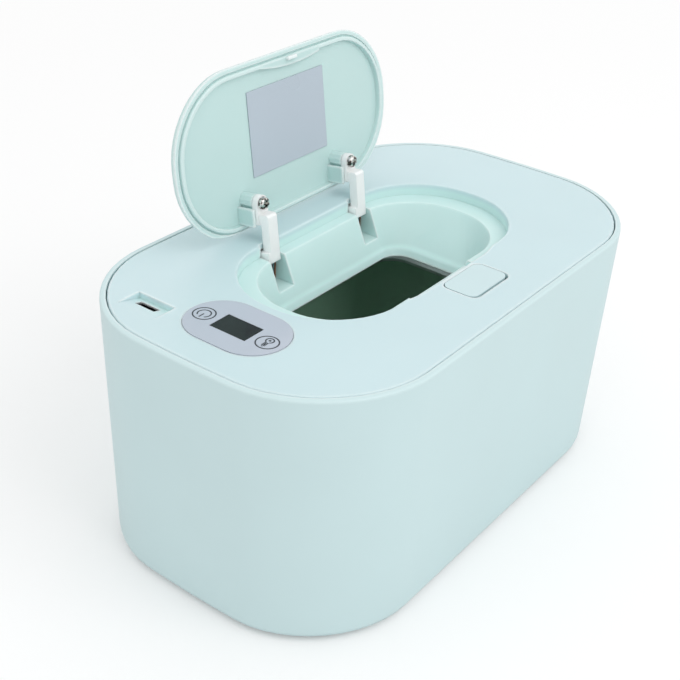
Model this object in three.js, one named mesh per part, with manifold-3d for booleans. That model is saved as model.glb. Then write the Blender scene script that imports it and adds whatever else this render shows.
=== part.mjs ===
// Baby wipe warmer: a rounded bin holding a tub of wipes, with a heated lift-off cover and a spring-opened lid.
// Millimetres, +Z up, +X away from the control panel, -Y towards the release button.
// The origin is the centre of the footprint on the table. The lid is modelled shut and its group turns it open.
import * as THREE from 'three';
import { mergeVertices } from 'three/addons/utils/BufferGeometryUtils.js';
import Module from 'manifold-3d';

const wasm = await Module();
wasm.setup();

// Fits and cutting values shared by every piece
const overrun = 1;
const seatGap = 0.3;
const slideGap = 0.35;
const bondGap = 0.1;
const boreGap = 0.08;
const screwGap = 0.15;

// Housing
const body = {
  length: 200, width: 120.6, height: 94.1, radius: 40.9, bow: 3.3,
  taper: 2.2, footRadius: 3, rimRadius: 0.8,
  wall: 2.4, floor: 2.4, rim: 2, ledge: 2.7, ledgeHeight: 2.6, cornerSteps: 12,
};
const foot = { radius: 7, stand: 1, sink: 1.2, fromEnd: 34, fromSide: 24.3 };
const tub = {
  endRoom: 10, sideRoom: 9.3, rimRoom: 2.7, radius: 27, wall: 1.6, floor: 1.8, draft: 1.2,
  lip: 1.8, lipHeight: 1.4, bottomRadius: 3, filletSteps: 3,
  pad: 1, padSize: 14, padFromEnd: 30, padFromSide: 21,
};
const rib = { thickness: 1.6, topRoom: 13.2, placeShare: 0.22 };

// Lift-off cover
const deck = { plate: 2.2, seam: 0.45, edge: 0.4, skirt: 1.8, skirtStep: 5.05 };
const strip = { front: 31.7, back: 29.8, far: 39.65 };
const well = { radius: 27.5, bow: 0.9, depth: 4.5, wall: 1.6, rimRadius: 0.7 };
const throat = { endInset: 8.35, sideInset: 4.55, radius: 23, bow: 0.6 };
const mouth = { endInset: 20.95, sideInset: 10.55, radius: 8, y: 0.4, top: 20, bottom: 23.7, ease: 1.2 };
const fingerPocket = { flatShare: 0.289, lengthShare: 0.527, reach: 1.9, steps: 8 };
const latchPocket = { lengthShare: 0.306, front: 1.6, back: 6.6, depth: 2.4, floor: 1.2 };
const tray = {
  drop: 29.5, floor: 2, edge: 0.25, wall: 1.6, wallHeight: 6, insideGap: 0.4,
  endRoom: 6.6, sideRoom: 7, radius: 9, collar: 5.5, collarWall: 1.6, ridges: 2, ridge: 0.4, ridgeHeight: 0.9,
  stakeRadius: 1.2, stakeHead: 2.2, stakeHeadHeight: 0.6, stakeFromEnd: 13, stakeFromSide: 7, recess: 0.6,
};
const heater = {
  endMargin: 30.5, sideMargin: 14, radius: 22, thickness: 1, margin: 3, film: 0.3, filmMargin: 4,
};
const fuse = { radius: 1.8, length: 10, fromEnd: 15.5, y: 0, window: 2 };
const sensor = { radius: 1.3, length: 6, fromEnd: 16.5, y: 0 };

// Controls on the deck
const panel = { fromEnd: 13.45, gap: 4.1, y: 0, lengthShare: 0.305, width: 25.1, thickness: 0.6, recess: 0.45 };
const display = {
  shift: 0.4, width: 9.1, length: 14.3, moduleWidth: 10, moduleLength: 15, moduleHeight: 6.4, glass: 0.75,
};
const touch = { placeShare: 0.3505, radius: 2.6, top: 1.7, wire: 0.25, turns: 3 };
const board = {
  shift: 1, lengthShare: 0.506, width: 22, thickness: 1.6, chip: 7, chipHeight: 1.6, chipShare: 0.344,
};
const usb = {
  shift: 7.1, placeShare: 0.2587, length: 7.6, width: 2.3, wall: 0.3, tongue: 0.5, tongueLength: 5,
  rampEnd: 13.4, rampDeep: 3.8, rampDepth: 2.3, rampAside: 0.9, rampWidth: 15.8, pad: 1.8, gap: 0.2,
};

// Lid hinge
const hinge = {
  behind: 6, drop: 5.1, spacingShare: 0.4265, opened: 97.4,
  slot: 7.8, slotFloor: 15.1, sill: 0.8, notch: 1, cheek: 1.8, cheekEnd: 4.8, cheekDrop: 4.5,
  pin: 1, barrel: 1.65,
};
const lid = {
  clearance: 0.45, endClearance: 1.6, shift: 0.45, skin: 2.4, edgeRadius: 3, flange: 1.6, flangeLift: 0.8,
  groove: 0.7, grooveDepth: 0.5, ring: 1.3, draft: 0.35, sweepGap: 0.25,
};
const catchPad = {
  lengthShare: 0.275, outer: 2.6, left: 3.6, middle: 7.2, right: 4.4,
  tongue: 4.6, thickness: 0.8, drop: 1.4, gap: 0.15,
};
const arm = {
  left: 2.1, right: 2.7, heel: 2.4, neck: 3.9, neckLeft: 3.3, neckRight: -0.2, toeWall: 0.975,
  back: 7, front: 10.4, top: 8.5, tabBack: 4, tabFront: 6.3, tabLow: 4.6, tabHalf: 2.75,
  screw: 12, chamfer: 0.7,
};
const armScrew = { head: 2.25, headHeight: 1.7, shank: 1.1, length: 6 };
const fin = { left: 3.65, thickness: 1.1, low: 4, high: 10.3, reach: 5.2 };
const boss = { radius: 2.7 };
const torsion = {
  coil: 2.35, wire: 0.3, turns: 2.75, pitch: 1.08, inset: 0.6, foot: 6.7, toe: 1.6, bend: 0.6, steps: 14,
};
const label = { lengthShare: 0.35, widthShare: 0.508, thickness: 0.2, aside: 1.4, below: 3.75 };

// Release button
const button = {
  x: 1.6, length: 21.8, front: 16.15, back: 3.3, thickness: 2, radius: 3,
  frontGap: 0.9, sideGap: 0.4, backGap: 0.2, skirt: 3.4, wall: 1.4,
  pivot: 1.4, pivotDrop: 10.5, barrel: 1.5, pin: 0.8, lever: 15, leverBottom: 11.7, leverTop: 9.7,
  web: 4.1, webThickness: 1.5, cheek: 1.8, cheekReach: 3,
};
const hook = {
  x: 4.4, width: 4.6, front: 1.3, thickness: 1.2, drop: 4.5, barb: 0.5, barbHeight: 0.5,
  slot: 6, slotFront: 0.5, slotBack: 3.4,
};
const press = {
  y: 11.2, coil: 2.2, wire: 0.3, turns: 5, seatDrop: 11.4, seat: 1.6, seatReach: 4.4, peg: 1.5, pegHeight: 2,
};
const screw = {
  head: 2.6, headHeight: 1.5, shank: 1.3, length: 9, boss: 3.1, fromEnd: 28, fromSide: 20.3, endFromEnd: 12.4,
};
const boardScrew = { head: 2, headHeight: 1.2, shank: 0.9, length: 6, boss: 2.2, inX: 3, inY: 3.5 };

const round = { fine: 20, plain: 12, hidden: 8, bores: 10, small: 3, sweep: 96, wireSides: 5, turn: 8 };

// Heights that several pieces share
const top = body.height;
const deckUnder = top - deck.plate;
const ledgeTop = deckUnder - seatGap;
const basinFloor = top - well.depth;
const shellFloor = foot.stand + body.floor;
const tubBottom = shellFloor + tub.pad + seatGap;
const trayBottom = top - tray.drop;
const trayTop = trayBottom + tray.floor;
const tubHeight = trayBottom - tub.rimRoom - tubBottom;
const lidSeat = basinFloor + seatGap;
const pivotZ = top - hinge.drop;

// Plan of the deck: the panel stands near the -X end, and the basin takes what the strips round it leave
const bodyEnd = body.length / 2;
const bodySide = body.width / 2;
const panelX = -bodyEnd + panel.fromEnd + panel.width / 2;
const panelLength = panel.lengthShare * body.width;
const displayX = panelX - display.shift;
const basinLeft = panelX + panel.width / 2 + panel.gap;
const basinRight = bodyEnd - strip.far;
const basinFront = -bodySide + strip.front;
const basinBack = bodySide - strip.back;
const basin = {
  ...well, x: (basinLeft + basinRight) / 2, y: (basinFront + basinBack) / 2,
  length: basinRight - basinLeft, width: basinBack - basinFront,
};
const hingeY = basinBack + hinge.behind;
const hingeSpacing = hinge.spacingShare * basin.length;
const hingeXs = [basin.x - hingeSpacing / 2, basin.x + hingeSpacing / 2];
const lidBack = basinBack - lid.clearance;
const lidFront = basinFront + lid.clearance;
const buttonFront = basinFront - button.front;
const buttonBack = basinFront - button.back;
const buttonPivotY = basinFront - button.pivot;
const socket = { x: panelX - usb.shift, y: usb.placeShare * body.width };
const boardLength = board.lengthShare * body.width;
const boardPlace = { x: panelX + board.shift, y: socket.y + usb.length / 2 - boardLength / 2 };
const tubForm = {
  ...tub, length: body.length - 2 * tub.endRoom, width: body.width - 2 * tub.sideRoom,
};
const mouthForm = {
  ...mouth, x: basin.x, length: basin.length - 2 * mouth.endInset, width: basin.width - 2 * mouth.sideInset,
};
const throatForm = {
  ...throat, x: basin.x, y: basin.y,
  length: basin.length - 2 * throat.endInset, width: basin.width - 2 * throat.sideInset,
};
const openingForm = {
  ...mouthForm, radius: tray.radius,
  length: mouthForm.length + 2 * tray.endRoom, width: mouthForm.width + 2 * tray.sideRoom,
};
const heaterForm = {
  x: basin.x, y: mouth.y, radius: heater.radius,
  length: openingForm.length + 2 * heater.endMargin, width: openingForm.width + 2 * heater.sideMargin,
};
const fuseX = heaterForm.x - heaterForm.length / 2 + fuse.fromEnd;
const sensorX = heaterForm.x + heaterForm.length / 2 - sensor.fromEnd;

const colours = {
  mint: 0xc4dfdd, mintDeep: 0x9fbfb4, white: 0xeef1f0, grey: 0x9a9ea3, panel: 0xbcc3cf, glass: 0x39444a,
  steel: 0xb9bcbf,
  copper: 0x9c5a41, rubber: 0x6f7573, aluminium: 0xc9cccd, amber: 0xb87a2c, board: 0x2c6b45, black: 0x1e2022,
};

function material(colour, roughness, metalness = 0) {
  return new THREE.MeshStandardMaterial({ color: colour, roughness, metalness });
}

// A geometry as a solid, its shared corners merged
function solid(geometry) {
  const plain = geometry.clone();
  plain.deleteAttribute('normal');
  plain.deleteAttribute('uv');
  const merged = mergeVertices(plain);
  return new wasm.Manifold(new wasm.Mesh({
    numProp: 3,
    vertProperties: new Float32Array(merged.attributes.position.array),
    triVerts: new Uint32Array(merged.index.array),
  }));
}

function geometryOf(shape) {
  const mesh = shape.getMesh();
  const geometry = new THREE.BufferGeometry();
  geometry.setAttribute('position', new THREE.Float32BufferAttribute(mesh.vertProperties, 3));
  geometry.setIndex(new THREE.Uint32BufferAttribute(mesh.triVerts, 1));
  geometry.computeVertexNormals();
  return geometry;
}

function joined(first, ...others) {
  return others.reduce((whole, piece) => whole.add(piece), first);
}

function without(first, ...others) {
  return others.reduce((whole, piece) => whole.subtract(piece), first);
}

function piece(group, name, shape, finish, origin = null) {
  const geometry = shape.isBufferGeometry ? shape : geometryOf(shape);
  if (origin) geometry.translate(-origin.x, -origin.y, -origin.z);
  const mesh = new THREE.Mesh(geometry, finish);
  mesh.name = name;
  group.add(mesh);
  return mesh;
}

function block(x0, x1, y0, y1, z0, z1) {
  const geometry = new THREE.BoxGeometry(x1 - x0, y1 - y0, z1 - z0);
  geometry.translate((x0 + x1) / 2, (y0 + y1) / 2, (z0 + z1) / 2);
  return solid(geometry);
}

function rod(radius, x, y, z0, z1, sides = round.bores) {
  const geometry = new THREE.CylinderGeometry(radius, radius, z1 - z0, sides);
  geometry.rotateX(Math.PI / 2);
  geometry.translate(x, y, (z0 + z1) / 2);
  return solid(geometry);
}

function rodAlongX(radius, x0, x1, y, z, sides = round.fine) {
  const geometry = new THREE.CylinderGeometry(radius, radius, x1 - x0, sides);
  geometry.rotateZ(Math.PI / 2);
  geometry.translate((x0 + x1) / 2, y, z);
  return solid(geometry);
}

function rodAlongY(radius, x, y0, y1, z, sides = round.plain) {
  const geometry = new THREE.CylinderGeometry(radius, radius, y1 - y0, sides);
  geometry.translate(x, (y0 + y1) / 2, z);
  return solid(geometry);
}

// A shape drawn in Y and Z, extruded from x0 to x1
function alongX(points, x0, x1) {
  const shape = new THREE.Shape(points.map(([y, z]) => new THREE.Vector2(y, z)));
  const geometry = new THREE.ExtrudeGeometry(shape, { depth: x1 - x0, bevelEnabled: false });
  geometry.applyMatrix4(new THREE.Matrix4().set(0, 0, 1, x0, 1, 0, 0, 0, 0, 1, 0, 0, 0, 0, 0, 1));
  return solid(geometry);
}

// A shape drawn in X and Z, extruded from y0 to y1
function alongY(points, y0, y1) {
  const shape = new THREE.Shape(points.map(([x, z]) => new THREE.Vector2(x, z)));
  const geometry = new THREE.ExtrudeGeometry(shape, { depth: y1 - y0, bevelEnabled: false });
  geometry.applyMatrix4(new THREE.Matrix4().set(1, 0, 0, 0, 0, 0, -1, y1, 0, 1, 0, 0, 0, 0, 0, 1));
  return solid(geometry);
}

// A shape drawn in X and Y, extruded from z0 to z1
function upright(shape, z0, z1, steps = round.plain) {
  const settings = { depth: z1 - z0, bevelEnabled: false, curveSegments: steps };
  const geometry = new THREE.ExtrudeGeometry(shape, settings);
  geometry.translate(0, 0, z0);
  return solid(geometry);
}

// Rounded rectangle whose short ends bow outwards, as a ring of points at one height
function ring(form, z, grow = 0, steps = body.cornerSteps) {
  const bow = form.bow ?? 0;
  const halfX = form.length / 2 - bow + grow;
  const halfY = form.width / 2 + grow;
  const flatShare = 0.98;
  const radius = Math.min(Math.max(form.radius + grow, grow / 2), halfY * flatShare, halfX * flatShare);
  const points = [];
  const bowed = (x, y) => {
    const reach = Math.abs(x) / halfX;
    const across = y / halfY;
    const out = Math.sign(x) * bow * (1 - across * across) * reach ** 4;
    points.push(new THREE.Vector3((form.x ?? 0) + x + out, (form.y ?? 0) + y, z));
  };
  const corners = [[1, 1], [-1, 1], [-1, -1], [1, -1]];
  corners.forEach(([sx, sy], index) => {
    for (let step = 0; step <= steps; step += 1) {
      const angle = (index + step / steps) * Math.PI / 2;
      bowed(sx * (halfX - radius) + radius * Math.cos(angle), sy * (halfY - radius) + radius * Math.sin(angle));
    }
    const endSteps = Math.max(2, steps / 3);
    if (index % 2 === 1) {
      for (let step = 1; step < endSteps; step += 1) {
        bowed(sx * halfX, sy * (halfY - radius) * (1 - 2 * step / endSteps));
      }
    }
  });
  return points;
}

// Closed surface through rings of equal count, lowest first, with flat ends
function loft(rings) {
  const count = rings[0].length;
  const positions = rings.flat().flatMap((point) => [point.x, point.y, point.z]);
  const index = [];
  for (let level = 0; level < rings.length - 1; level += 1) {
    for (let i = 0; i < count; i += 1) {
      const a = level * count + i;
      const b = level * count + (i + 1) % count;
      index.push(a, b, b + count, a, b + count, a + count);
    }
  }
  const last = (rings.length - 1) * count;
  for (let i = 1; i < count - 1; i += 1) {
    index.push(0, i + 1, i, last, last + i, last + i + 1);
  }
  const geometry = new THREE.BufferGeometry();
  geometry.setAttribute('position', new THREE.Float32BufferAttribute(positions, 3));
  geometry.setIndex(index);
  return solid(geometry);
}

// Straight-sided plate or tube blank with one outline
function slab(form, z0, z1, grow = 0, steps = body.cornerSteps) {
  return loft([ring(form, z0, grow, steps), ring(form, z1, grow, steps)]);
}

function stadium(x, y, width, length) {
  const radius = width / 2;
  const shape = new THREE.Shape();
  const end = length / 2 - radius;
  shape.absarc(x, y + end, radius, 0, Math.PI, false);
  shape.absarc(x, y - end, radius, Math.PI, 2 * Math.PI, false);
  shape.closePath();
  return shape;
}

function roundedRectangle(x0, x1, y0, y1, radius) {
  const shape = new THREE.Shape();
  shape.absarc(x1 - radius, y1 - radius, radius, 0, Math.PI / 2, false);
  shape.absarc(x0 + radius, y1 - radius, radius, Math.PI / 2, Math.PI, false);
  shape.absarc(x0 + radius, y0 + radius, radius, Math.PI, 1.5 * Math.PI, false);
  shape.absarc(x1 - radius, y0 + radius, radius, 1.5 * Math.PI, 2 * Math.PI, false);
  shape.closePath();
  return shape;
}

// Pan-head screw with a cross recess, its head above the origin and its shank below
function panScrew(form, sides) {
  const profile = [new THREE.Vector2(0, -form.length)];
  profile.push(new THREE.Vector2(form.shank / 2, -form.length));
  profile.push(new THREE.Vector2(form.shank, -form.length + form.shank));
  profile.push(new THREE.Vector2(form.shank, 0));
  profile.push(new THREE.Vector2(form.head, 0));
  const domeSteps = 4;
  const domeShare = 0.35;
  for (let step = 0; step <= domeSteps; step += 1) {
    const angle = step / domeSteps * Math.PI / 2;
    const height = form.headHeight * (domeShare + (1 - domeShare) * Math.sin(angle));
    profile.push(new THREE.Vector2(form.head * (1 - domeShare + domeShare * Math.cos(angle)), height));
  }
  profile.push(new THREE.Vector2(0, form.headHeight));
  const lathe = new THREE.LatheGeometry(profile, sides);
  lathe.rotateX(Math.PI / 2);
  const armShare = 0.55;
  const widthShare = 0.13;
  const reach = form.head * armShare;
  const half = form.head * widthShare;
  const deep = form.headHeight / 2;
  return without(
    solid(lathe),
    block(-reach, reach, -half, half, deep, form.headHeight + overrun),
    block(-half, half, -reach, reach, deep, form.headHeight + overrun),
  );
}

// The same screw driven upwards, its head hanging below z
function upsideScrew(form, x, y, z, sides = round.bores) {
  return panScrew(form, sides).rotate([180, 0, 0]).translate([x, y, z]);
}

// Round wire bent along a list of straight runs and coils
class WirePath extends THREE.CurvePath {
  getPoint(t, target = new THREE.Vector3()) {
    return target.copy(super.getPoint(Math.min(Math.max(t, 0), 1)));
  }
}

class Coil extends THREE.Curve {
  constructor(place) {
    super();
    this.place = place;
  }

  getPoint(t, target = new THREE.Vector3()) {
    return target.copy(this.place(t));
  }
}

function wire(curves, radius, steps) {
  const path = new WirePath();
  curves.forEach((curve) => path.add(curve));
  const section = new THREE.Shape();
  for (let side = 0; side < round.wireSides; side += 1) {
    const angle = side / round.wireSides * 2 * Math.PI;
    const point = [radius * Math.cos(angle), radius * Math.sin(angle)];
    if (side === 0) section.moveTo(...point);
    else section.lineTo(...point);
  }
  section.closePath();
  const geometry = new THREE.ExtrudeGeometry(section, { steps, bevelEnabled: false, extrudePath: path });
  return { geometry, gap: selfGap(path, radius, steps) };
}

// Least gap between stretches of one wire that lie more than half a turn apart along it
function selfGap(path, radius, steps) {
  const samplesPerStep = 4;
  const radiiApart = 8;
  const samples = steps * samplesPerStep;
  const points = path.getSpacedPoints(samples);
  const spacing = path.getLength() / samples;
  const apart = Math.ceil(radiiApart * radius / spacing);
  let least = Infinity;
  for (let i = 0; i < points.length; i += 1) {
    for (let j = i + apart; j < points.length; j += 1) {
      least = Math.min(least, points[i].distanceTo(points[j]));
    }
  }
  return least - 2 * radius;
}

const part = new THREE.Group();
const cover = new THREE.Group();
part.add(cover);

// Housing: one drafted moulding with a stepped ledge under its rim
function outerShell() {
  const bodyTaper = (z) => -body.taper * (1 - z / top);
  const outside = [];
  for (let step = 0; step <= round.small; step += 1) {
    const angle = step / round.small * Math.PI / 2;
    const z = foot.stand + body.footRadius * (1 - Math.cos(angle));
    outside.push(ring(body, z, bodyTaper(z) - body.footRadius * (1 - Math.sin(angle))));
  }
  for (let step = 0; step <= round.small; step += 1) {
    const angle = step / round.small * Math.PI / 2;
    const z = top - body.rimRadius * (1 - Math.sin(angle));
    outside.push(ring(body, z, bodyTaper(z) - body.rimRadius * (1 - Math.cos(angle))));
  }
  const ledgeIn = -body.rim - body.ledge;
  const ledgeBottom = ledgeTop - body.ledgeHeight;
  const inside = loft([
    ring(body, shellFloor, bodyTaper(shellFloor) - body.wall - body.footRadius / 2, round.hidden),
    ring(body, shellFloor + body.footRadius / 2, bodyTaper(shellFloor) - body.wall, round.hidden),
    ring(body, ledgeBottom - body.ledge, bodyTaper(ledgeBottom) - body.wall, round.hidden),
    ring(body, ledgeBottom, ledgeIn, round.hidden),
    ring(body, ledgeTop + overrun, ledgeIn, round.hidden),
  ]);
  const recess = slab(body, ledgeTop, top + overrun, -body.rim);
  let shell = without(loft(outside), inside, recess);
  shell = joined(shell, ...tubPads(), ...sideRibs());
  for (const { x, y } of footPlaces()) {
    shell = shell.subtract(rod(foot.radius + boreGap, x, y, 0, foot.stand + foot.sink, round.fine));
  }
  return shell;
}

// Four points mirrored about both axes, front left first
function fourCorners(x, y) {
  return [{ x: -x, y: -y }, { x, y: -y }, { x: -x, y }, { x, y }];
}

function footPlaces() {
  return fourCorners(bodyEnd - foot.fromEnd, bodySide - foot.fromSide);
}

// Low pads on the floor that the tub stands on
function tubPads() {
  const half = tub.padSize / 2;
  const places = fourCorners(tubForm.length / 2 - tub.padFromEnd, tubForm.width / 2 - tub.padFromSide);
  return places.map(({ x, y }) => (
    block(x - half, x + half, y - half, y + half, shellFloor - body.floor / 2, shellFloor + tub.pad)
  ));
}

// Ribs on the long walls that keep the tub in the middle
function sideRibs() {
  const half = rib.thickness / 2;
  const wallY = bodySide - body.taper - body.wall / 2;
  const tubY = tubForm.width / 2 + slideGap;
  return fourCorners(rib.placeShare * body.length, (wallY + tubY) / 2).map(({ x, y }) => (
    block(x - half, x + half, y - (wallY - tubY) / 2, y + (wallY - tubY) / 2, shellFloor - body.floor / 2,
      shellFloor + tubHeight - rib.topRoom)
  ));
}

// Tub: a drafted tray for the pack of wipes with a turned-out lip
function innerTub() {
  const rimZ = tubBottom + tubHeight;
  const outside = loft([
    ...tubFoot(tubBottom, -tub.draft),
    ring(tubForm, rimZ - tub.lipHeight, 0, round.hidden),
    ring(tubForm, rimZ - tub.lipHeight, tub.lip, round.hidden),
    ring(tubForm, rimZ, tub.lip, round.hidden),
  ]);
  const inside = loft([
    ...tubFoot(tubBottom + tub.floor, -tub.wall - tub.draft),
    ring(tubForm, rimZ + overrun, -tub.wall, round.hidden),
  ]);
  return without(outside, inside);
}

// Rings of the rounded bottom edge of the tub
function tubFoot(z, grow) {
  const rings = [];
  for (let step = 0; step <= tub.filletSteps; step += 1) {
    const angle = step / tub.filletSteps * Math.PI / 2;
    const rise = tub.bottomRadius * (1 - Math.cos(angle));
    rings.push(ring(tubForm, z + rise, grow - tub.bottomRadius * (1 - Math.sin(angle)), round.hidden));
  }
  return rings;
}

piece(part, 'outer_shell', outerShell(), material(colours.mint, 0.45));
piece(part, 'inner_tub', innerTub(), material(colours.mintDeep, 0.5));
const footNames = ['foot_front_left', 'foot_front_right', 'foot_back_left', 'foot_back_right'];
footNames.forEach((name, index) => {
  const { x, y } = footPlaces()[index];
  const pad = rod(foot.radius, x, y, 0, foot.stand + foot.sink - bondGap, round.fine);
  piece(part, name, pad, material(colours.rubber, 0.8));
});

// Stepped well of the basin: recess for the lid, ledge, drafted funnel and straight lip
function basinWell() {
  const recessGrow = basin.rimRadius;
  const easeShare = 1 / 3;
  return loft([
    ring(mouthForm, top - mouth.bottom - overrun),
    ...lipRounding(),
    ring(throatForm, basinFloor - basin.rimRadius / 2),
    ring(throatForm, basinFloor, basin.rimRadius / 2),
    ring(basin, basinFloor),
    ring(basin, top - basin.rimRadius),
    ring(basin, top - easeShare * basin.rimRadius, easeShare * recessGrow),
    ring(basin, top, recessGrow),
    ring(basin, top + overrun, recessGrow),
  ]);
}

// Rings that round the bend from the lip into the funnel, lowest first
function lipRounding() {
  const bendZ = top - mouth.top;
  const lip = ring(mouthForm, bendZ);
  const funnelTop = ring(throatForm, basinFloor - basin.rimRadius / 2);
  const easeShare = mouth.ease / (funnelTop[0].z - bendZ);
  const rings = [];
  for (let step = 0; step <= round.small; step += 1) {
    const up = step / round.small;
    const z = bendZ + mouth.ease * (2 * up - 1);
    rings.push(lip.map((point, index) => point.clone().lerp(funnelTop[index], easeShare * up * up).setZ(z)));
  }
  return rings;
}

function basinWalls() {
  return loft([
    ring(mouthForm, top - mouth.bottom, basin.wall, round.hidden),
    ring(mouthForm, top - mouth.top - basin.wall, basin.wall, round.hidden),
    ring(throatForm, basinFloor - basin.wall, basin.wall, round.hidden),
    ring(basin, basinFloor - basin.wall, basin.wall, round.hidden),
    ring(basin, top - deck.plate / 2, basin.wall, round.hidden),
  ]);
}

// Widening of the recess in front of the lid, where a fingertip finds its edge
function fingerCut() {
  const half = fingerPocket.lengthShare * basin.length / 2;
  const run = half - fingerPocket.flatShare * basin.length / 2;
  const outline = new THREE.Shape();
  outline.moveTo(basin.x + half, basin.y);
  outline.lineTo(basin.x - half, basin.y);
  for (const side of [-1, 1]) {
    for (let step = 0; step <= fingerPocket.steps; step += 1) {
      const share = side < 0 ? step / fingerPocket.steps : 1 - step / fingerPocket.steps;
      const reach = fingerPocket.reach * (1 - Math.cos(Math.PI * share)) / 2;
      outline.lineTo(basin.x + side * (half - run * share), basinFront - reach);
    }
  }
  outline.closePath();
  return upright(outline, basinFloor, top + overrun);
}

// Notch in the ledge at the front, where the lid's catch goes down to the latch hook, and the walls round it
function latchNotch() {
  const half = latchPocket.lengthShare * basin.length / 2;
  return block(basin.x - half, basin.x + half, basinFront + latchPocket.front, basinFront + latchPocket.back,
    basinFloor - latchPocket.depth, basinFloor + overrun);
}

function latchNotchWalls() {
  const half = latchPocket.lengthShare * basin.length / 2 + basin.wall;
  return block(basin.x - half, basin.x + half, basinFront + latchPocket.front - basin.wall,
    basinFront + latchPocket.back, basinFloor - latchPocket.depth - latchPocket.floor,
    basinFloor - basin.wall / 2);
}

// Hole under the release button, open to a wide gap along its front
function buttonHole(z0, z1) {
  const half = button.length / 2 + button.sideGap;
  const outline = roundedRectangle(button.x - half, button.x + half, buttonFront - button.frontGap,
    buttonBack + button.backGap, button.radius);
  return upright(outline, z0, z1, round.plain / 2);
}

// Cheeks, floor and cavity of one hinge slot
function hingePocket(x) {
  const half = hinge.slot / 2;
  const floor = top - hinge.slotFloor;
  const wide = half + hinge.cheek;
  const cheekBottom = pivotZ - hinge.cheekDrop;
  const cheekEnd = hingeY + hinge.cheekEnd;
  const walls = joined(
    block(x - wide, x + wide, basin.y, basinBack + hinge.sill, floor - basin.wall, top - deck.plate / 2),
    block(x - wide, x - half, basin.y, cheekEnd, cheekBottom, top - deck.plate / 2),
    block(x + half, x + wide, basin.y, cheekEnd, cheekBottom, top - deck.plate / 2),
  );
  const cavity = joined(
    block(x - half, x + half, basin.y - overrun, cheekEnd + overrun, floor, deckUnder),
    block(x - half, x + half, basin.y, basinBack + hinge.notch, basinFloor, top + overrun),
    rodAlongX(hinge.pin + boreGap / 2, x - wide - overrun, x + wide + overrun, hingeY, pivotZ),
  );
  return { walls, cavity };
}

function deckCover() {
  const plate = loft([
    ring(body, deckUnder, -body.rim - deck.seam),
    ring(body, top - deck.edge, -body.rim - deck.seam),
    ring(body, top, -body.rim - deck.seam - deck.edge),
  ]);
  const skirtBottom = trayTop + seatGap;
  const skirt = without(
    slab(body, skirtBottom, top - deck.plate / 2, -deck.skirtStep, round.hidden),
    slab(body, skirtBottom - overrun, deckUnder, -deck.skirtStep - deck.skirt, round.hidden),
  );
  const pockets = hingeXs.map(hingePocket);
  const raised = [
    basinWalls(), ...pockets.map(({ walls }) => walls), fingerPocketWalls(), latchNotchWalls(),
    socketPad(), ...buttonCheeks(), springSeat(),
    ...screwPlaces().map(([x, y]) => rod(screw.boss, x, y, trayTop + seatGap, top - deck.plate / 2)),
    ...boardScrewPlaces().map(([x, y]) => (
      rod(boardScrew.boss, x, y, boardTop() + bondGap, top - deck.plate / 2)
    )),
  ];
  const cuts = [
    basinWell(), fingerCut(), latchNotch(), buttonHole(deckUnder - button.skirt, top + overrun),
    buttonPinBore(boreGap / 2), hookSlot(), ...pockets.map(({ cavity }) => cavity), panelRecess(), usbRamp(),
    ...screwPlaces().map(([x, y]) => rod(screw.shank + boreGap, x, y, trayTop, trayTop + screw.length)),
    ...boardScrewPlaces().map(([x, y]) => (
      rod(boardScrew.shank + boreGap, x, y, boardTop(), boardTop() + boardScrew.length)
    )),
  ];
  return without(joined(plate, skirt, ...raised), ...cuts);
}

// Walls round the finger pocket, under the plate
function fingerPocketWalls() {
  const half = fingerPocket.lengthShare * basin.length / 2 + basin.wall;
  return block(basin.x - half, basin.x + half, basinFront - fingerPocket.reach - basin.wall,
    basinFront + basin.radius / 2, basinFloor - basin.wall, deckUnder + bondGap);
}

// Pad that thickens the plate under the charging socket
function socketPad() {
  const y = socket.y - usb.rampAside;
  const half = usb.rampWidth / 2 + usb.pad;
  const pad = block(panelX - usb.rampEnd, panelX - usb.rampDeep + usb.pad, y - half, y + half,
    deckUnder - usb.pad, top - deck.plate / 2);
  return pad.intersect(slab(body, deckUnder - usb.pad - overrun, top, -deck.skirtStep - deck.skirt / 2));
}

// Cheeks that carry the button's pin
function buttonCheeks() {
  const z = top - button.pivotDrop;
  const reach = button.cheekReach;
  return [-1, 1].map((side) => {
    const middle = button.x + side * (button.lever / 2 + slideGap + button.cheek / 2);
    return block(middle - button.cheek / 2, middle + button.cheek / 2, buttonPivotY - reach,
      buttonPivotY + reach, z - reach, basinFloor - basin.wall / 2);
  });
}

function buttonPinBore(gap) {
  return rodAlongX(button.pin + gap, button.x - button.length, button.x + button.length, buttonPivotY,
    top - button.pivotDrop);
}

function screwPlaces() {
  const corners = fourCorners(bodyEnd - screw.fromEnd, bodySide - screw.fromSide).map(({ x, y }) => [x, y]);
  const endX = bodyEnd - screw.endFromEnd;
  return [...corners, [-endX, 0], [endX, 0]];
}

function boardScrewPlaces() {
  const x = boardPlace.x + board.width / 2 - boardScrew.inX;
  const reach = boardLength / 2 - boardScrew.inY;
  return [[x, boardPlace.y - reach], [x, boardPlace.y + reach]];
}

function boardTop() {
  return top - panel.recess - display.glass - display.moduleHeight - 2 * bondGap;
}

// Tongue across the skirt that holds the foot of the button's spring
function springSeat() {
  const z = top - press.seatDrop;
  const half = press.seatReach;
  const y = basinFront - press.y;
  const wallY = -bodySide + deck.skirtStep + deck.skirt / 2;
  return joined(
    block(button.x - half, button.x + half, wallY, y + half, z - press.seat, z),
    rod(press.peg, button.x, y, z - press.seat, z + press.pegHeight),
  );
}

function hookSlot() {
  const half = hook.slot / 2;
  return block(hook.x - half, hook.x + half, basinFront + hook.slotFront, basinFront + hook.slotBack,
    basinFloor - latchPocket.depth - latchPocket.floor - overrun, basinFloor + overrun);
}

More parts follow.
